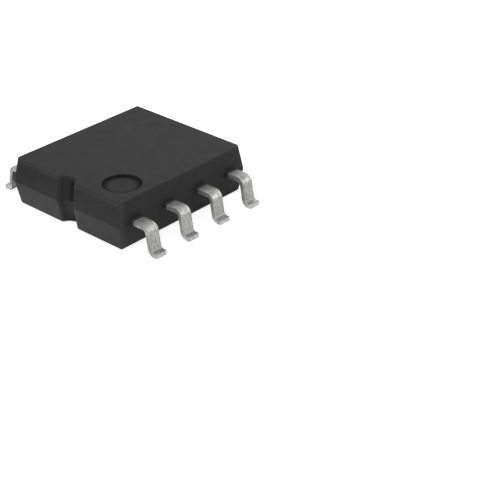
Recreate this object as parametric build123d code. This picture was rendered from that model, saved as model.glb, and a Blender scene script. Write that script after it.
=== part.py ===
from build123d import *
import math
import os

# An eight-lead switching regulator in a small moulded surface-mount package.
# All sizes are in millimetres. The origin is the centre of the footprint on the
# plane that the feet stand on. X runs across the leads, +Y points to the notched
# end and +Z is up. Lead 1 is at -X +Y, and the numbers run down the -X side and
# back up the +X side.

# Moulded body, with its plan sizes taken at the parting plane
body_width = 4.40
body_length = 5.00
standoff = 0.02
lower_height = 0.715
upper_height = 0.76
draft_angle = 8.5
edge_radius = 0.06

# Round-backed notch in the end near lead 1, and the round dimple beside lead 1
notch_radius = 0.29
notch_depth = 0.24
notch_edge_radius = 0.11
dimple_diameter = 1.13
dimple_depth = 0.06
dimple_side_inset = 0.86
dimple_end_inset = 0.94

# Leads, stamped from one strip and bent to gull wings
leads_per_side = 4
lead_pitch = 1.27
lead_width = 0.40
lead_span = 6.30
strip_thickness = 0.15
strip_below_parting = 0.01
shoulder_radius = 0.09
heel_radius = 0.10
stem_lean = 10.0
foot_run = 0.25

# Inner ends of the separate leads, with a mould lock just inside the wall
lock_setback = 0.18
lock_length = 0.50
lock_width = 0.64
middle_tip_gap = 0.25
corner_tip_reach = 0.55
landing_inset = 0.11

# Die pad, set down from the leads and in one piece with the two ground leads
ground_row = 2
pad_width = 2.10
pad_end_gap = 0.25
pad_corner_chamfer = 0.15
pad_downset = 0.20
downset_angle = 45.0
downset_radius = 0.06
downset_setback = 0.40

# Silicon die on its layer of conductive adhesive
die_width = 1.40
die_length = 1.90
die_thickness = 0.22
attach_thickness = 0.025
attach_margin = 0.05

# Bond wires, each with a ball on the die and a stitch at its landing
wire_diameter = 0.036
ball_diameter = 0.09
ball_height = 0.03
neck_height = 0.13
loop_height = 0.20
kink_run = 0.05
loop_fall = 0.05
touchdown_run = 0.26
bond_inset = 0.10
middle_bond_step = 0.40

# Heights worked out from the sizes above
parting_z = standoff + lower_height
body_top = parting_z + upper_height
strip_bottom = parting_z - strip_below_parting
strip_top = strip_bottom + strip_thickness
pad_bottom = strip_bottom - pad_downset
pad_top = pad_bottom + strip_thickness
die_bottom = pad_top + attach_thickness
die_top = die_bottom + die_thickness

# Places worked out from the sizes above
wall_x = body_width / 2
end_y = body_length / 2
tip_x = lead_span / 2
corner_lead_y = lead_pitch * (leads_per_side - 1) / 2
pad_length = 2 * (corner_lead_y - lead_width / 2 - pad_end_gap)
middle_tip_x = pad_width / 2 + middle_tip_gap
corner_tip_x = middle_tip_x - corner_tip_reach
lock_outer_x = wall_x - lock_setback
lock_inner_x = lock_outer_x - lock_length
downset_outer_x = wall_x - downset_setback
downset_inner_x = downset_outer_x - pad_downset / math.tan(math.radians(downset_angle))


def row_y(row):
    """Centre of a lead, with row 0 at the notched end."""
    return corner_lead_y - row * lead_pitch


def lead_number(side, row):
    """Lead number by the usual count, down the -X side and up the +X side."""
    return row + 1 if side < 0 else 2 * leads_per_side - row


def upright_edges(solid):
    """The edges that run from the parting plane to the far face of a half body."""
    height = solid.bounding_box().size.Z
    return [e for e in solid.edges() if e.bounding_box().size.Z > height / 2]


def half_body(height):
    """One half of the moulding, standing on the parting plane, without inner spaces."""
    notch_zone = (wall_x + notch_radius) / 2
    shift = height * math.tan(math.radians(draft_angle))
    half = extrude(Rectangle(body_width, body_length), height, taper=draft_angle)
    circle = Pos(0, end_y + notch_radius - notch_depth, 0) * Rot(0, 0, 90) * Circle(notch_radius)
    slant = Vector(0, -shift, height)
    half -= extrude(circle, slant.length, dir=slant.normalized())
    half = fillet([e for e in upright_edges(half) if abs(e.center().X) < notch_zone], notch_edge_radius)
    half = fillet([e for e in upright_edges(half) if abs(e.center().X) > notch_zone], edge_radius)
    rim = half.faces().sort_by(Axis.Z)[-1].edges()
    return fillet(rim, edge_radius)


def moulding_blank():
    """The whole moulding as one filled block, with notch and dimple."""
    upper = Pos(0, 0, parting_z) * half_body(upper_height)
    lower = Pos(0, 0, parting_z) * mirror(half_body(lower_height), about=Plane.XY)
    block = upper + lower
    dimple_x = -(wall_x - dimple_side_inset)
    dimple_y = end_y - dimple_end_inset
    dimple = extrude(Circle(dimple_diameter / 2), dimple_depth)
    return block - Pos(dimple_x, dimple_y, body_top - dimple_depth) * dimple


def bent_profile(inner_points, inner_radii):
    """Side view of a bent strip, from the given flat inner points out to the toe."""
    half_thickness = strip_thickness / 2
    turn = 90 - stem_lean
    mitre = half_thickness * math.tan(math.radians(turn / 2))
    heel_x = tip_x - foot_run
    shoulder_x = heel_x - strip_bottom * math.tan(math.radians(stem_lean))
    upper_radii = [shoulder_radius + strip_thickness, heel_radius]
    lower_radii = [shoulder_radius, heel_radius + strip_thickness]
    upper = [(x, z + strip_thickness) for x, z in inner_points["upper"]]
    lower = inner_points["lower"]
    upper += [(shoulder_x + mitre, strip_top), (heel_x + mitre, strip_thickness), (tip_x, strip_thickness)]
    lower = lower + [(shoulder_x - mitre, strip_bottom), (heel_x - mitre, 0), (tip_x, 0)]
    top_line = FilletPolyline(*upper, radius=inner_radii["upper"] + upper_radii)
    low_line = FilletPolyline(*lower, radius=inner_radii["lower"] + lower_radii)
    ends = Line(upper[0], lower[0]) + Line(upper[-1], lower[-1])
    return Plane.XZ * make_face(top_line + low_line + ends)


def slab(profile, width):
    """A side view swept to a width about Y = 0."""
    return extrude(profile, width / 2, both=True)


def straight_lead_blank():
    """Side form of a separate lead, wider than any lead and at the corner leads' reach."""
    start_x = min(corner_tip_x, middle_tip_x)
    inner_points = {"upper": [(start_x, strip_bottom)], "lower": [(start_x, strip_bottom)]}
    return slab(bent_profile(inner_points, {"upper": [], "lower": []}), lead_width + lock_width)


def lead_outline(tip):
    """Plan view of a separate lead about Y = 0, with the two ears of its mould lock."""
    shank = Pos((tip + tip_x) / 2, 0) * Rectangle(tip_x - tip, lead_width)
    lock = Pos((lock_inner_x + lock_outer_x) / 2, 0) * Rectangle(lock_length, lock_width)
    return shank + lock


def make_lead(side, row):
    """One separate lead in its place."""
    at_corner = row in (0, leads_per_side - 1)
    tip = corner_tip_x if at_corner else middle_tip_x
    plan = extrude(lead_outline(tip), strip_top)
    lead = straight_lead_blank() & plan
    if side < 0:
        lead = mirror(lead, about=Plane.YZ)
    return Pos(0, row_y(row), 0) * lead


def make_ground_frame():
    """The die pad with its two leads, stamped and bent as one piece."""
    turn = math.radians(downset_angle)
    mitre = strip_thickness / 2 * math.tan(turn / 2)
    flat = (0, pad_bottom)
    upper = [flat, (downset_inner_x - mitre, pad_bottom), (downset_outer_x - mitre, strip_bottom)]
    lower = [flat, (downset_inner_x + mitre, pad_bottom), (downset_outer_x + mitre, strip_bottom)]
    inner = downset_radius
    outer = downset_radius + strip_thickness
    radii = {"upper": [inner, outer], "lower": [outer, inner]}
    blank = slab(bent_profile({"upper": upper, "lower": lower}, radii), pad_length)
    blank += mirror(blank, about=Plane.YZ)
    pad = Rectangle(pad_width, pad_length)
    pad = chamfer(pad.vertices(), pad_corner_chamfer)
    bar = Pos(0, row_y(ground_row)) * Rectangle(lead_span, lead_width)
    return blank & extrude(pad + bar, strip_top)


def make_die_attach():
    """The thin layer of adhesive between die and pad."""
    margin = 2 * attach_margin
    return Pos(0, 0, pad_top) * extrude(Rectangle(die_width + margin, die_length + margin), attach_thickness)


def make_die():
    """The silicon chip."""
    return Pos(0, 0, die_bottom) * extrude(Rectangle(die_width, die_length), die_thickness)


def make_wire(bond, landing, landing_z):
    """One bond wire from a place on the die to a landing, both given in plan."""
    run = math.dist(bond, landing)
    heading = math.degrees(math.atan2(landing[1] - bond[1], landing[0] - bond[0]))
    peak_z = die_top + loop_height
    path = Polyline(
        (0, 0, die_top),
        (0, 0, die_top + neck_height),
        (kink_run, 0, peak_z),
        (run - touchdown_run, 0, peak_z - loop_fall),
        (run, 0, landing_z),
    )
    wire = sweep(Pos(0, 0, die_top) * Circle(wire_diameter / 2), path, transition=Transition.RIGHT)
    under_landing = extrude(Rectangle(touchdown_run, touchdown_run), -touchdown_run)
    wire -= Pos(run, 0, landing_z) * under_landing
    ball = Pos(0, 0, die_top) * extrude(Circle(ball_diameter / 2), ball_height)
    return Pos(bond[0], bond[1], 0) * Rot(0, 0, heading) * (wire + ball)


def make_wires():
    """One bond wire for each lead, by node name."""
    bond_x = die_width / 2 - bond_inset
    bond_y = die_length / 2 - bond_inset
    wires = {}
    for side in (-1, 1):
        for row in range(leads_per_side):
            y = row_y(row)
            end = 1 if y > 0 else -1
            if row == ground_row:
                bond_from = (side * bond_x, y)
                landing = (side * (pad_width / 2 + downset_inner_x) / 2, y)
                landing_z = pad_top
            elif row in (0, leads_per_side - 1):
                bond_from = (side * bond_x, end * bond_y)
                landing = (side * (corner_tip_x + landing_inset), y)
                landing_z = strip_top
            else:
                bond_from = (side * bond_x, end * (bond_y - middle_bond_step))
                landing = (side * (middle_tip_x + landing_inset), y)
                landing_z = strip_top
            wires[f"bond_wire_{lead_number(side, row)}"] = make_wire(bond_from, landing, landing_z)
    return wires


parts = {}
for side in (-1, 1):
    for row in range(leads_per_side):
        if row != ground_row:
            parts[f"lead_{lead_number(side, row)}"] = make_lead(side, row)
parts["ground_leads_and_die_pad"] = make_ground_frame()
parts["die_attach"] = make_die_attach()
parts["silicon_die"] = make_die()
parts.update(make_wires())
parts["moulded_body"] = moulding_blank() - list(parts.values())

os.makedirs("parts", exist_ok=True)
for name, shape in parts.items():
    export_step(shape, f"parts/{name}.step")
    print(name, "solids", len(shape.solids()), "volume", round(shape.volume, 5))
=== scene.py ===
import math

import bmesh
import bpy
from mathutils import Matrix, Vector


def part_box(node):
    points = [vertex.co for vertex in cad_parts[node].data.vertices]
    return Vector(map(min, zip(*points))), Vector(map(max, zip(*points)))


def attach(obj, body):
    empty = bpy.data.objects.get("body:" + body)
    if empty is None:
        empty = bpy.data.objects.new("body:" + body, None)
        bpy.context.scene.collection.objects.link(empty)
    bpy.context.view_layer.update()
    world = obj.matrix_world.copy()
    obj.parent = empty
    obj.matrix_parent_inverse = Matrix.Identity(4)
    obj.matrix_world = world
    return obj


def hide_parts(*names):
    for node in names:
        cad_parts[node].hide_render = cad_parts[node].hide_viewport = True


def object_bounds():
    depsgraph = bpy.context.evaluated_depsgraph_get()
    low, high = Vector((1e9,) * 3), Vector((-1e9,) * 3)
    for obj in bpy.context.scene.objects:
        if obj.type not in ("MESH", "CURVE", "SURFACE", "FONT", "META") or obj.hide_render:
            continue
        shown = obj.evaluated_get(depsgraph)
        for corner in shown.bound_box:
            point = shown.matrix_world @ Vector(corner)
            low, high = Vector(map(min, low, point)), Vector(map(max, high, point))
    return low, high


# Looks for a small black chip package on a pale table. The frame is the CAD model's: X across the
# leads, +Y to the notched end. Lengths with MM are in metres. The other lengths, which place looks
# on the surfaces, are in millimetres. A tilt is a range of the surface normal along one axis.
MM = 0.001
PER_MM = 1 / MM

# The moulding's parting line, draft, notch and dimple, and the rows of leads
PARTING_HEIGHT = 0.735
DRAFT = math.tan(math.radians(8.5))
NOTCH_DEPTH = 0.24
NOTCH_RADIUS = 0.29
DIMPLE_PLACE = (-1.34, 1.56)
DIMPLE_RADIUS = 0.565
LEAD_PITCH = 1.27
LEADS_A_SIDE = 4

# The camera, aimed at the point that the picture's centre shows at the parting line's height
CAMERA_AIM = Vector((-5.513, 0.987, PARTING_HEIGHT)) * MM
CAMERA_AZIMUTH = 221.53
CAMERA_ELEVATION = 29.98
CAMERA_DISTANCE = 36.59 * MM
CAMERA_LENS = 100.45
SENSOR_WIDTH = 36.0
CLIP_NEAR = 1.0 * MM
CLIP_FAR = 3000 * MM

# Stamped leads: welding distance for the imported mesh, and the rounding of their sheared edges
WELD = 0.0001 * MM
FLAT_ANGLE = math.radians(1)
SHARP_ANGLE = math.radians(30)
STRIP_EDGE_RADIUS = 0.028 * MM
STRIP_EDGE_STEPS = 3

# Light: a plain pale sky with two wide soft boxes, a low one to the photograph's right and a high
# one to its left. Heights in the sky are the sine of the angle above the table. The bright way
# points from the part to the photograph's left.
BRIGHT_WAY = (0.749, 0.663, 0.0)
WHITE = (1, 1, 1, 1)
SKY_LEVEL = 0.21
SKY_MIRRORED = 0.25
LOW_BOX_LEVEL = 1.61
LOW_BOX_HEIGHTS = (0.25, 0.55)
HIGH_BOX_LEVEL = 1.22
HIGH_BOX_HEIGHTS = (0.55, 0.85)
BOX_BLEND = 0.3
BOX_EDGE = 0.05

# The table mirrors as a pool round the part, bright on the bright way's side and dull on the other,
# with a band of its own by the feet and none under the body.
TABLE_HALF_WIDTH = 1000 * MM
TABLE_SHADE = 0.8
TABLE_SEEN_GLOW = 0.75
POOL_BRIGHT_GLOW = 1.0
POOL_DULL_GLOW = 0.12
POOL_BLEND = 3.0
POOL_FADE = (2.8, 6.1)
FEET_GLOW = 0.3
FEET_BAND = (0.55, 1.1)
FEET_BAND_BLEND = 0.15
FEET_ROW_FADE = 0.3
UNDER_BODY_FADE = 0.25

# Black moulding compound
COMPOUND_DARK = (0.0160, 0.0160, 0.0163)
COMPOUND_PALE = (0.0178, 0.0178, 0.0181)
COMPOUND_FLECK = (0.022, 0.022, 0.0223)
# Painted shade for the dimple, the notch and the walls above the leads
COMPOUND_PAINTED_SHADE = (0.002, 0.002, 0.002)
# Painted highlight for the rim, the wall below it and the upright corners
COMPOUND_PAINTED_HIGHLIGHT = (0.042, 0.042, 0.042)
COMPOUND_ROUGHNESS = (0.57, 0.63)
SUNK_ROUGHNESS = 0.35
COMPOUND_SPECULAR = 0.42
CLOUDS_PER_MM = 2.5
GRAINS_PER_MM = 28.0
GRAIN_DEPTH = 0.0016 * MM
FLECKS_PER_MM = 16.0
FLECK_CONTRAST = (0.62, 0.72)

# Painted highlight that pales the rounded top rim, the wall below it and the upright corners
RIM_TILT = (0.45, 0.93)
RIM_TILT_BLEND = 0.05
END_TILT = (0.8, 0.9)
STEEP_TILT = (0.3, 0.5)
SIDE_HIGHLIGHT_DROP = 0.12
END_HIGHLIGHT_DROP = 0.22
HIGHLIGHT_FADE = 0.15
WALL_HIGHLIGHT = 0.8
CORNER_HIGHLIGHT_REACH = (0.22, 0.05)
CORNER_TILT = (0, 0.8)
CORNER_HIGHLIGHT = (0.1, 0.75)

# Painted shade in the dimple, in the notch and on the walls above the leads
SHARP_BLEND = 0.01
DIMPLE_DROP = (0.03, 0.01)
DIMPLE_EDGE = (0.005, 0.015)
DIMPLE_SHADE_REACH = (0.22, 0.03)
DIMPLE_FLOOR_SHADE = 0.6
NOTCH_MOUTH = 0.06
NOTCH_BLEND = 0.03
NOTCH_STEEP_TILT = (0.3, 0.6)
LOWER_FLANK_TILT = (0.2, 0.6)
LOWER_FLANK_SHADE = (0.35, 1)
UPPER_FLANK_TILT = (-0.6, -0.1)
UPPER_FLANK_SHADE = (0.1, 0.85)
SIDE_TILT = (0.7, 0.9)
LEAD_SHADE = 0.7
LEAD_SHADE_ASIDE = (0.14, 0.32)
LEAD_SHADE_DROP = 0.12
LEAD_SHADE_RISE = 0.03
LEAD_SHADE_FADE = 0.15

# Tin plate on the leads, and the bare copper inside the moulding
TIN_DARK = (0.42, 0.42, 0.415)
TIN_PALE = (0.72, 0.72, 0.71)
# Painted highlight colours, for the outside of the upper bends and the cut ends
PAINTED_HIGHLIGHT_DARK = (0.50, 0.50, 0.495)
PAINTED_HIGHLIGHT_PALE = (0.92, 0.92, 0.91)
# Painted shade colours, for the inside of the heels and the faces that look back at the moulding
HEEL_PAINTED_SHADE = (0.48, 0.48, 0.475)
INWARD_PAINTED_SHADE = (0.07, 0.07, 0.069)
# Painted shade on the leads by the wall
ROOT_PAINTED_SHADE = (0.05, 0.05, 0.05)
BARE_COPPER = (0.72, 0.36, 0.22)
TIN_ROUGHNESS = (0.60, 0.50)
TIN_BUMP_DEPTH = 0.0012 * MM
MOTTLES_PER_MM = 15.0
STREAKS_PER_MM = 30.0
STREAK_STRETCH = 0.12
TIN_CONTRAST = (0.4, 1.6)
ROOT_SHADE_REACH = (0.07, 0.13)
COPPER_REACH = (-0.08, -0.05)

# Where the tin carries painted highlights and painted shade. A slope is the surface normal's X times its Z,
# and an inward value is its X times the place's X.
SHOULDER_SLOPE = (0.25, 0.48)
HEEL_SLOPE = (0.15, 0.4)
BENDS_BLEND = 0.05
INWARD_VALUES = (-0.5, -1.0)
INWARD_HEIGHTS = (0.2, 0.5)
INWARD_DEPTH = (0.7, 1)
TOE_CUT_TILT = (0.25, 0.6)
TOE_CUT_REACH = (0.05, 0.035)
HEEL_SIDE_TILT = (0.5, 0.8)
HEEL_SIDE_HEIGHTS = (0.12, 0.24)

# Silver adhesive, silicon and gold, all inside the moulding
FLAKES_PER_MM = 40.0
ADHESIVE_DARK = (0.36, 0.36, 0.35)
ADHESIVE_PALE = (0.68, 0.68, 0.66)
ADHESIVE_ROUGHNESS = (0.65, 0.4)
ADHESIVE_METAL = 0.4
BLOCKS_PER_MM = 9.0
BLOCK_REACH = (0, 0.6)
SILICON_DARK = (0.20, 0.21, 0.26)
SILICON_PALE = (0.28, 0.29, 0.33)
SILICON_ROUGHNESS = (0.28, 0.4)
SILICON_METAL = 0.5
DRAWN_PER_MM = 60.0
GOLD_DARK = (0.78, 0.55, 0.22)
GOLD_PALE = (0.88, 0.68, 0.32)
GOLD_ROUGHNESS = (0.22, 0.32)

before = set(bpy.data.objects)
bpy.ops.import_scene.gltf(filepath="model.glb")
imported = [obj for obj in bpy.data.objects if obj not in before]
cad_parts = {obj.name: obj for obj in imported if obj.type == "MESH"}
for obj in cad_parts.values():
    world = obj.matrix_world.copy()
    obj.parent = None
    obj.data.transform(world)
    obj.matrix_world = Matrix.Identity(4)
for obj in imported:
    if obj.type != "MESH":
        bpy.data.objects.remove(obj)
cad_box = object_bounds()
wall_x, end_y, body_top = (reach * PER_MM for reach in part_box("moulded_body")[1])
lead_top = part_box("lead_1")[1][2] * PER_MM
toe_x = cad_box[1][0] * PER_MM


def make_camera():
    """The photograph's viewpoint."""
    data = bpy.data.cameras.new("camera")
    data.sensor_width = SENSOR_WIDTH
    data.lens = CAMERA_LENS
    data.clip_start = CLIP_NEAR
    data.clip_end = CLIP_FAR
    camera = bpy.data.objects.new("camera", data)
    bpy.context.scene.collection.objects.link(camera)
    azimuth = math.radians(CAMERA_AZIMUTH)
    elevation = math.radians(CAMERA_ELEVATION)
    ahead = Vector((-math.sin(azimuth), math.cos(azimuth), 0)) * math.cos(elevation)
    ahead.z = -math.sin(elevation)
    camera.location = CAMERA_AIM - ahead * CAMERA_DISTANCE
    camera.rotation_euler = (math.pi / 2 - elevation, 0, azimuth)
    bpy.context.scene.camera = camera


def add_node(tree, kind, links=None, **settings):
    """A shader node, with attributes and input values by name, and inputs linked from outputs."""
    made = tree.nodes.new(kind)
    for name, value in settings.items():
        if hasattr(made, name):
            setattr(made, name, value)
        else:
            made.inputs[name].default_value = value
    for name, output in (links or {}).items():
        tree.links.new(output, made.inputs[name])
    return made


def new_material(name):
    """An empty material and its node tree."""
    material = bpy.data.materials.new(name)
    material.use_nodes = True
    material.node_tree.nodes.clear()
    return material, material.node_tree


def finish_material(tree, shader):
    """Sends a shader to the surface."""
    add_node(tree, "ShaderNodeOutputMaterial", {"Surface": shader.outputs[0]})


def stretched_place(tree, x=1.0, y=1.0, z=1.0):
    """The point's place in the frame, in millimetres times the given stretches."""
    place = add_node(tree, "ShaderNodeTexCoord").outputs["Object"]
    mapping = add_node(tree, "ShaderNodeMapping", {"Vector": place})
    mapping.inputs["Scale"].default_value = (x * PER_MM, y * PER_MM, z * PER_MM)
    return mapping.outputs["Vector"]


def spread(tree, source, before, after, smooth=False):
    """Maps a value from one range to another, held at the ends."""
    kind = "SMOOTHSTEP" if smooth else "LINEAR"
    made = add_node(tree, "ShaderNodeMapRange", {"Value": source}, interpolation_type=kind)
    for name, value in zip(("From Min", "From Max", "To Min", "To Max"), (*before, *after)):
        made.inputs[name].default_value = value
    return made.outputs["Result"]


def noise(tree, place, per_mm, detail=3.0, contrast=(0.3, 0.7)):
    """Cloudy noise from 0 to 1, with its cells counted per millimetre."""
    made = add_node(tree, "ShaderNodeTexNoise", {"Vector": place}, Scale=per_mm, Detail=detail)
    return spread(tree, made.outputs["Fac"], contrast, (0, 1))


def combine(tree, operation, one, other):
    """Two values, each an output or a number, put together by one sum."""
    made = add_node(tree, "ShaderNodeMath", operation=operation)
    for socket, value in zip(made.inputs, (one, other)):
        if isinstance(value, (int, float)):
            socket.default_value = value
        else:
            tree.links.new(value, socket)
    return made.outputs["Value"]


def product(tree, first, *others):
    """Several values multiplied."""
    for other in others:
        first = combine(tree, "MULTIPLY", first, other)
    return first


def largest(tree, first, *others):
    """The largest of several values."""
    for other in others:
        first = combine(tree, "MAXIMUM", first, other)
    return first


def opposite(tree, value):
    """One less a value from 0 to 1."""
    return combine(tree, "SUBTRACT", 1.0, value)


def absolute(tree, value):
    """A value without its sign."""
    return add_node(tree, "ShaderNodeMath", {0: value}, operation="ABSOLUTE").outputs["Value"]


def within(tree, source, low, high, edge):
    """One between two limits and nothing outside them, with soft edges outward."""
    above = spread(tree, source, (low - edge, low), (0, 1), smooth=True)
    below = spread(tree, source, (high, high + edge), (1, 0), smooth=True)
    return product(tree, above, below)


def blend_colours(tree, amount, low, high):
    """A colour between two, which are either fixed or other outputs."""
    made = add_node(tree, "ShaderNodeMix", {"Factor": amount}, data_type="RGBA")
    for socket, colour in ((made.inputs[6], low), (made.inputs[7], high)):
        if isinstance(colour, tuple):
            socket.default_value = (*colour, 1)
        else:
            tree.links.new(colour, socket)
    return made.outputs[2]


def bump(tree, height, depth):
    """A bumped normal, with its full depth in metres."""
    return add_node(tree, "ShaderNodeBump", {"Height": height}, Distance=depth).outputs["Normal"]


def split_vector(tree, vector):
    """A vector's three values."""
    return add_node(tree, "ShaderNodeSeparateXYZ", {0: vector}).outputs


def facing(tree):
    """The surface normal's three values."""
    return split_vector(tree, add_node(tree, "ShaderNodeNewGeometry").outputs["Normal"])


def along_bright_way(tree, vector):
    """How far a vector reaches along the bright way."""
    made = add_node(tree, "ShaderNodeVectorMath", {0: vector}, operation="DOT_PRODUCT")
    made.inputs[1].default_value = BRIGHT_WAY
    return made.outputs["Value"]


def drafted_in(tree, at):
    """How far the walls stand inside the parting line's plan at this height."""
    rise = absolute(tree, combine(tree, "SUBTRACT", at["Z"], PARTING_HEIGHT))
    return product(tree, rise, DRAFT)


def painted_edge_highlight(tree, place):
    """How much painted highlight pales the moulding's edges: the top rim most, the uprights less."""
    normal = facing(tree)
    at = split_vector(tree, place)
    rim = within(tree, normal["Z"], *RIM_TILT, RIM_TILT_BLEND)
    on_end = spread(tree, absolute(tree, normal["Y"]), END_TILT, (0, 1))
    fade_start = spread(tree, on_end, (0, 1), (body_top - SIDE_HIGHLIGHT_DROP, body_top - END_HIGHLIGHT_DROP))
    fade = combine(tree, "DIVIDE", combine(tree, "SUBTRACT", at["Z"], fade_start), HIGHLIGHT_FADE)
    below_rim = spread(tree, fade, (0, 1), (0, WALL_HIGHLIGHT), smooth=True)
    below_rim = product(tree, below_rim, spread(tree, normal["Z"], STEEP_TILT, (1, 0)))
    outward = combine(tree, "ADD", absolute(tree, at["X"]), absolute(tree, at["Y"]))
    reach = combine(tree, "ADD", outward, product(tree, drafted_in(tree, at), 2))
    corner_range = [wall_x + end_y - inset for inset in CORNER_HIGHLIGHT_REACH]
    upright = spread(tree, reach, corner_range, (0, 1), smooth=True)
    upright = product(tree, upright, spread(tree, absolute(tree, normal["X"]), CORNER_TILT, CORNER_HIGHLIGHT))
    return largest(tree, rim, below_rim, upright)


def dimple_shade(tree, place):
    """How much painted shade darkens the dimple: its floor a little, and more towards its wall."""
    at = split_vector(tree, place)
    below_top = spread(tree, at["Z"], [body_top - drop for drop in DIMPLE_DROP], (1, 0))
    centre = add_node(tree, "ShaderNodeCombineXYZ", {2: at["Z"]}, X=DIMPLE_PLACE[0], Y=DIMPLE_PLACE[1])
    links = {0: place, 1: centre.outputs["Vector"]}
    reach = add_node(tree, "ShaderNodeVectorMath", links, operation="DISTANCE").outputs["Value"]
    inside = spread(tree, reach, [DIMPLE_RADIUS + past for past in DIMPLE_EDGE], (1, 0))
    shade_range = [DIMPLE_RADIUS - inset for inset in DIMPLE_SHADE_REACH]
    darkness = spread(tree, reach, shade_range, (DIMPLE_FLOOR_SHADE, 1), smooth=True)
    return product(tree, below_top, inside, darkness)


def notch_shade(tree, place):
    """How much painted shade darkens the notch: more on lead 1's flank, and above the parting line in the
    middle too.
    """
    at = split_vector(tree, place)
    normal = facing(tree)
    end = combine(tree, "SUBTRACT", end_y, drafted_in(tree, at))
    depth = combine(tree, "SUBTRACT", end, at["Y"])
    inside = within(tree, depth, NOTCH_MOUTH, NOTCH_DEPTH + SHARP_BLEND, NOTCH_BLEND)
    middle_range = (NOTCH_RADIUS, NOTCH_RADIUS + SHARP_BLEND)
    near_middle = spread(tree, absolute(tree, at["X"]), middle_range, (1, 0))
    steep = spread(tree, absolute(tree, normal["Z"]), NOTCH_STEEP_TILT, (1, 0), smooth=True)
    parting_range = (PARTING_HEIGHT - SHARP_BLEND, PARTING_HEIGHT + SHARP_BLEND)
    in_upper = spread(tree, at["Z"], parting_range, (0, 1))
    upper_flank = spread(tree, normal["X"], UPPER_FLANK_TILT, UPPER_FLANK_SHADE)
    lower_flank = spread(tree, normal["X"], LOWER_FLANK_TILT, LOWER_FLANK_SHADE, smooth=True)
    upper_flank = product(tree, upper_flank, in_upper)
    lower_flank = product(tree, lower_flank, opposite(tree, in_upper))
    flank = combine(tree, "ADD", upper_flank, lower_flank)
    return product(tree, inside, near_middle, steep, flank)


def wall_shade_above_leads(tree, place):
    """How much painted shade darkens the side walls just above the leads."""
    at = split_vector(tree, place)
    shifted = combine(tree, "ADD", at["Y"], LEADS_A_SIDE * LEAD_PITCH)
    along = combine(tree, "MODULO", shifted, LEAD_PITCH)
    aside = absolute(tree, combine(tree, "SUBTRACT", along, LEAD_PITCH / 2))
    beside = spread(tree, aside, LEAD_SHADE_ASIDE, (LEAD_SHADE, 0), smooth=True)
    lowest = lead_top - LEAD_SHADE_DROP
    above = within(tree, at["Z"], lowest, lead_top + LEAD_SHADE_RISE, LEAD_SHADE_FADE)
    on_wall = spread(tree, absolute(tree, facing(tree)["X"]), SIDE_TILT, (0, 1))
    return product(tree, beside, above, on_wall)


def compound_material():
    """Black moulding compound with a fine matt grain, faint flecks of its filler, a painted highlight on its
    edges and painted shade in the dimple, the notch and above the leads.
    """
    material, tree = new_material("moulding_compound_matt")
    place = stretched_place(tree)
    cloud = noise(tree, place, CLOUDS_PER_MM)
    grain = noise(tree, place, GRAINS_PER_MM, detail=2.0)
    fleck = noise(tree, place, FLECKS_PER_MM, detail=1.0, contrast=FLECK_CONTRAST)
    clouded = blend_colours(tree, cloud, COMPOUND_DARK, COMPOUND_PALE)
    flecked = blend_colours(tree, fleck, clouded, COMPOUND_FLECK)
    # Painted shade darkens the dimple, the notch and the walls above the leads
    painted_shade_amount = largest(tree, dimple_shade(tree, place), notch_shade(tree, place), wall_shade_above_leads(tree, place))
    shaded_compound = blend_colours(tree, painted_shade_amount, flecked, COMPOUND_PAINTED_SHADE)
    # Painted highlight pales the edges
    colour = blend_colours(tree, painted_edge_highlight(tree, place), shaded_compound, COMPOUND_PAINTED_HIGHLIGHT)
    roughness = spread(tree, cloud, (0, 1), COMPOUND_ROUGHNESS)
    rougher = spread(tree, painted_shade_amount, (DIMPLE_FLOOR_SHADE, 1), (0, SUNK_ROUGHNESS))
    roughness = combine(tree, "ADD", roughness, rougher)
    links = {"Base Color": colour, "Roughness": roughness, "Normal": bump(tree, grain, GRAIN_DEPTH)}
    shader = add_node(tree, "ShaderNodeBsdfPrincipled", links)
    shader.inputs["Specular IOR Level"].default_value = COMPOUND_SPECULAR
    finish_material(tree, shader)
    return material


def bends(tree, place):
    """Where painted highlight lies on the outside of the upper bend, and where painted shade darkens the
    inside of the heel.
    """
    normal = facing(tree)
    slope = product(tree, absolute(tree, normal["X"]), normal["Z"])
    middle = PARTING_HEIGHT / 2
    high = spread(tree, split_vector(tree, place)["Z"], (middle - BENDS_BLEND, middle + BENDS_BLEND), (0, 1))
    shoulder = spread(tree, slope, SHOULDER_SLOPE, (0, 1), smooth=True)
    heel = spread(tree, slope, HEEL_SLOPE, (0, 1), smooth=True)
    return product(tree, shoulder, high), product(tree, heel, opposite(tree, high))


def inward_shade(tree, place):
    """How much painted shade darkens the faces that look back at the moulding: most high on the stems."""
    at = split_vector(tree, place)
    toward = product(tree, facing(tree)["X"], at["X"])
    depth = spread(tree, at["Z"], INWARD_HEIGHTS, INWARD_DEPTH, smooth=True)
    return product(tree, spread(tree, toward, INWARD_VALUES, (0, 1)), depth)


def end_highlight(tree, place):
    """Painted highlight: one on the cut ends of the feet and on the sides of their heels."""
    normal = facing(tree)
    at = split_vector(tree, place)
    turned_out = spread(tree, absolute(tree, normal["X"]), TOE_CUT_TILT, (0, 1))
    by_tip = spread(tree, absolute(tree, at["X"]), [toe_x - inset for inset in TOE_CUT_REACH], (0, 1))
    sideways = spread(tree, absolute(tree, normal["Y"]), HEEL_SIDE_TILT, (0, 1))
    low = spread(tree, at["Z"], HEEL_SIDE_HEIGHTS, (1, 0), smooth=True)
    return largest(tree, product(tree, turned_out, by_tip), product(tree, sideways, low))


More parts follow.
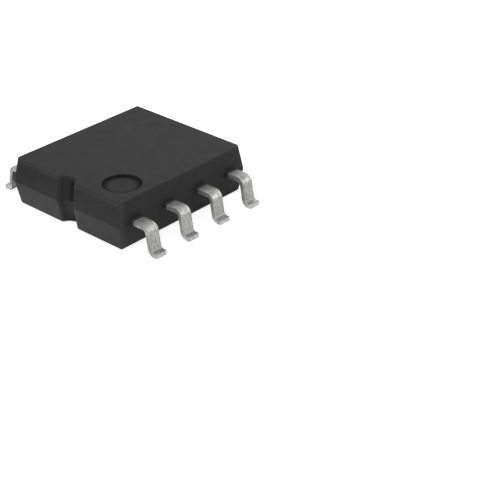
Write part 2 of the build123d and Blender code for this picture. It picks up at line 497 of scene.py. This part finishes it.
def tin_material():
    """Matt tin plate, mottled and faintly streaked along the strip, with painted highlights on the upper
    bends and cut ends, painted shade in the heels, on the faces that look back at the moulding and by the
    wall, and bare copper inside the moulding."""
    material, tree = new_material("tin_plate")
    place = stretched_place(tree)
    mottle = noise(tree, place, MOTTLES_PER_MM, detail=4.0)
    along_strip = stretched_place(tree, x=STREAK_STRETCH, z=STREAK_STRETCH)
    streak = noise(tree, along_strip, STREAKS_PER_MM, detail=2.0)
    both = spread(tree, combine(tree, "ADD", mottle, streak), TIN_CONTRAST, (0, 1))
    tin = blend_colours(tree, both, TIN_DARK, TIN_PALE)
    highlight_tin = blend_colours(tree, both, PAINTED_HIGHLIGHT_DARK, PAINTED_HIGHLIGHT_PALE)
    shoulder, heel = bends(tree, place)
    # Painted highlight on the outside of the upper bends, the cut ends and the heel sides
    highlit_tin = blend_colours(tree, shoulder, tin, highlight_tin)
    highlit_tin = blend_colours(tree, end_highlight(tree, place), highlit_tin, highlight_tin)
    # Painted shade inside the heels and on the faces that look back at the moulding
    shaded_tin = blend_colours(tree, heel, highlit_tin, HEEL_PAINTED_SHADE)
    shaded_tin = blend_colours(tree, inward_shade(tree, place), shaded_tin, INWARD_PAINTED_SHADE)
    across = absolute(tree, split_vector(tree, place)["X"])
    # Painted shade on the leads just outside the wall, not metallic
    clear = spread(tree, across, [wall_x + reach for reach in ROOT_SHADE_REACH], (0, 1), smooth=True)
    root_shaded = blend_colours(tree, clear, ROOT_PAINTED_SHADE, shaded_tin)
    outside = spread(tree, across, [wall_x + reach for reach in COPPER_REACH], (0, 1))
    colour = blend_colours(tree, outside, BARE_COPPER, root_shaded)
    metal = largest(tree, clear, opposite(tree, outside))
    roughness = spread(tree, both, (0, 1), TIN_ROUGHNESS)
    normal = bump(tree, both, TIN_BUMP_DEPTH)
    links = {"Base Color": colour, "Metallic": metal, "Roughness": roughness, "Normal": normal}
    finish_material(tree, add_node(tree, "ShaderNodeBsdfPrincipled", links))
    return material


def adhesive_material():
    """Grey adhesive full of silver flakes."""
    material, tree = new_material("silver_adhesive")
    flakes = noise(tree, stretched_place(tree), FLAKES_PER_MM, detail=2.0)
    colour = blend_colours(tree, flakes, ADHESIVE_DARK, ADHESIVE_PALE)
    links = {"Base Color": colour, "Roughness": spread(tree, flakes, (0, 1), ADHESIVE_ROUGHNESS)}
    finish_material(tree, add_node(tree, "ShaderNodeBsdfPrincipled", links, Metallic=ADHESIVE_METAL))
    return material


def silicon_material():
    """Grey silicon with a fine patchwork of circuit blocks."""
    material, tree = new_material("silicon_chip")
    place = stretched_place(tree)
    blocks = add_node(
        tree, "ShaderNodeTexVoronoi", {"Vector": place}, distance="CHEBYCHEV", Scale=BLOCKS_PER_MM)
    shade = spread(tree, blocks.outputs["Distance"], BLOCK_REACH, (0, 1))
    colour = blend_colours(tree, shade, SILICON_DARK, SILICON_PALE)
    links = {"Base Color": colour, "Roughness": spread(tree, shade, (0, 1), SILICON_ROUGHNESS)}
    finish_material(tree, add_node(tree, "ShaderNodeBsdfPrincipled", links, Metallic=SILICON_METAL))
    return material


def gold_material():
    """Drawn gold wire."""
    material, tree = new_material("gold_wire")
    drawn = noise(tree, stretched_place(tree), DRAWN_PER_MM, detail=2.0)
    colour = blend_colours(tree, drawn, GOLD_DARK, GOLD_PALE)
    links = {"Base Color": colour, "Roughness": spread(tree, drawn, (0, 1), GOLD_ROUGHNESS)}
    finish_material(tree, add_node(tree, "ShaderNodeBsdfPrincipled", links, Metallic=1.0))
    return material


def dress(node_name, material):
    """Puts one material on every slot of a node that stays."""
    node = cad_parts[node_name]
    for index in range(len(node.material_slots)):
        node.material_slots[index].material = material


def round_edged_copy(node_name, material):
    """A finer piece in a node's place: the same form with its sheared edges rounded."""
    form = bmesh.new()
    form.from_mesh(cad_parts[node_name].data)
    bmesh.ops.remove_doubles(form, verts=form.verts, dist=WELD)
    bmesh.ops.dissolve_limit(form, angle_limit=FLAT_ANGLE, verts=form.verts, edges=form.edges)
    mesh = bpy.data.meshes.new(node_name + "_finished")
    form.to_mesh(mesh)
    form.free()
    mesh.shade_smooth()
    mesh.materials.append(material)
    piece = bpy.data.objects.new(node_name + "_finished", mesh)
    bpy.context.scene.collection.objects.link(piece)
    rounding = piece.modifiers.new("sheared_edges", "BEVEL")
    rounding.width = STRIP_EDGE_RADIUS
    rounding.segments = STRIP_EDGE_STEPS
    rounding.angle_limit = SHARP_ANGLE
    rounding.use_clamp_overlap = False
    rounding.harden_normals = True
    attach(piece, "root")
    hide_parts(node_name)


def pool_glow(tree):
    """The table's glow in reflections: a pool that is bright on one side, fades outward and stops under
    the body."""
    place = stretched_place(tree)
    at = split_vector(tree, place)
    glows = (POOL_DULL_GLOW, POOL_BRIGHT_GLOW)
    elsewhere = spread(tree, along_bright_way(tree, place), (-POOL_BLEND, POOL_BLEND), glows, smooth=True)
    past_wall = combine(tree, "SUBTRACT", absolute(tree, at["X"]), wall_x)
    past_end = combine(tree, "SUBTRACT", absolute(tree, at["Y"]), end_y)
    by_feet = within(tree, past_wall, *FEET_BAND, FEET_BAND_BLEND)
    by_feet = product(tree, by_feet, spread(tree, past_end, (0, FEET_ROW_FADE), (1, 0), smooth=True))
    elsewhere = product(tree, elsewhere, opposite(tree, by_feet))
    glow = combine(tree, "ADD", elsewhere, product(tree, by_feet, FEET_GLOW))
    reach = add_node(tree, "ShaderNodeVectorMath", {0: place}, operation="LENGTH").outputs["Value"]
    fade = spread(tree, reach, POOL_FADE, (1, 0), smooth=True)
    outside = largest(tree, past_wall, past_end)
    uncovered = spread(tree, outside, (-UNDER_BODY_FADE, 0), (0, 1), smooth=True)
    return product(tree, glow, fade, uncovered)


def table_material():
    """A pale table that the camera sees as white, with the shadow kept."""
    material, tree = new_material("pale_table")
    ray = add_node(tree, "ShaderNodeLightPath").outputs
    seen = product(tree, ray["Is Camera Ray"], TABLE_SEEN_GLOW)
    mirrored = product(tree, ray["Is Glossy Ray"], pool_glow(tree))
    glow = add_node(tree, "ShaderNodeEmission", {"Strength": combine(tree, "ADD", seen, mirrored)})
    lit = add_node(tree, "ShaderNodeBsdfDiffuse", Color=(TABLE_SHADE, TABLE_SHADE, TABLE_SHADE, 1))
    finish_material(tree, add_node(tree, "ShaderNodeAddShader", {0: lit.outputs[0], 1: glow.outputs[0]}))
    return material


def make_table():
    """The table top that the feet stand on."""
    mesh = bpy.data.meshes.new("table_top")
    corner_ways = ((-1, -1), (1, -1), (1, 1), (-1, 1))
    corners = [(x * TABLE_HALF_WIDTH, y * TABLE_HALF_WIDTH, 0) for x, y in corner_ways]
    mesh.from_pydata(corners, [], [(0, 1, 2, 3)])
    mesh.materials.append(table_material())
    table = bpy.data.objects.new("table_top", mesh)
    bpy.context.scene.collection.objects.link(table)


def make_sky():
    """A plain pale studio with two soft boxes. The camera sees it as white."""
    world = bpy.data.worlds.new("studio")
    bpy.context.scene.world = world
    world.use_nodes = True
    tree = world.node_tree
    direction = add_node(tree, "ShaderNodeTexCoord").outputs["Generated"]
    side = along_bright_way(tree, direction)
    high_side = spread(tree, side, (-BOX_BLEND, BOX_BLEND), (0, HIGH_BOX_LEVEL), smooth=True)
    low_side = spread(tree, side, (-BOX_BLEND, BOX_BLEND), (LOW_BOX_LEVEL, 0), smooth=True)
    height = split_vector(tree, direction)["Z"]
    high_box = product(tree, high_side, within(tree, height, *HIGH_BOX_HEIGHTS, BOX_EDGE))
    low_box = product(tree, low_side, within(tree, height, *LOW_BOX_HEIGHTS, BOX_EDGE))
    lit = combine(tree, "ADD", combine(tree, "ADD", high_box, low_box), SKY_LEVEL)
    ray = add_node(tree, "ShaderNodeLightPath").outputs
    mirrored = product(tree, ray["Is Glossy Ray"], SKY_MIRRORED)
    level = largest(tree, lit, ray["Is Camera Ray"], mirrored)
    back = tree.nodes["Background"]
    back.inputs["Color"].default_value = WHITE
    tree.links.new(level, back.inputs["Strength"])


make_camera()
bpy.context.scene.view_settings.view_transform = "Standard"
make_table()
make_sky()

tin = tin_material()
other_materials = {
    "moulded_body": compound_material(),
    "die_attach": adhesive_material(),
    "silicon_die": silicon_material(),
    "bond_wire": gold_material(),
}
for node_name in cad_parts:
    if node_name.startswith(("lead_", "ground_leads")):
        round_edged_copy(node_name, tin)
    else:
        family = next(kind for kind in other_materials if node_name.startswith(kind))
        dress(node_name, other_materials[family])
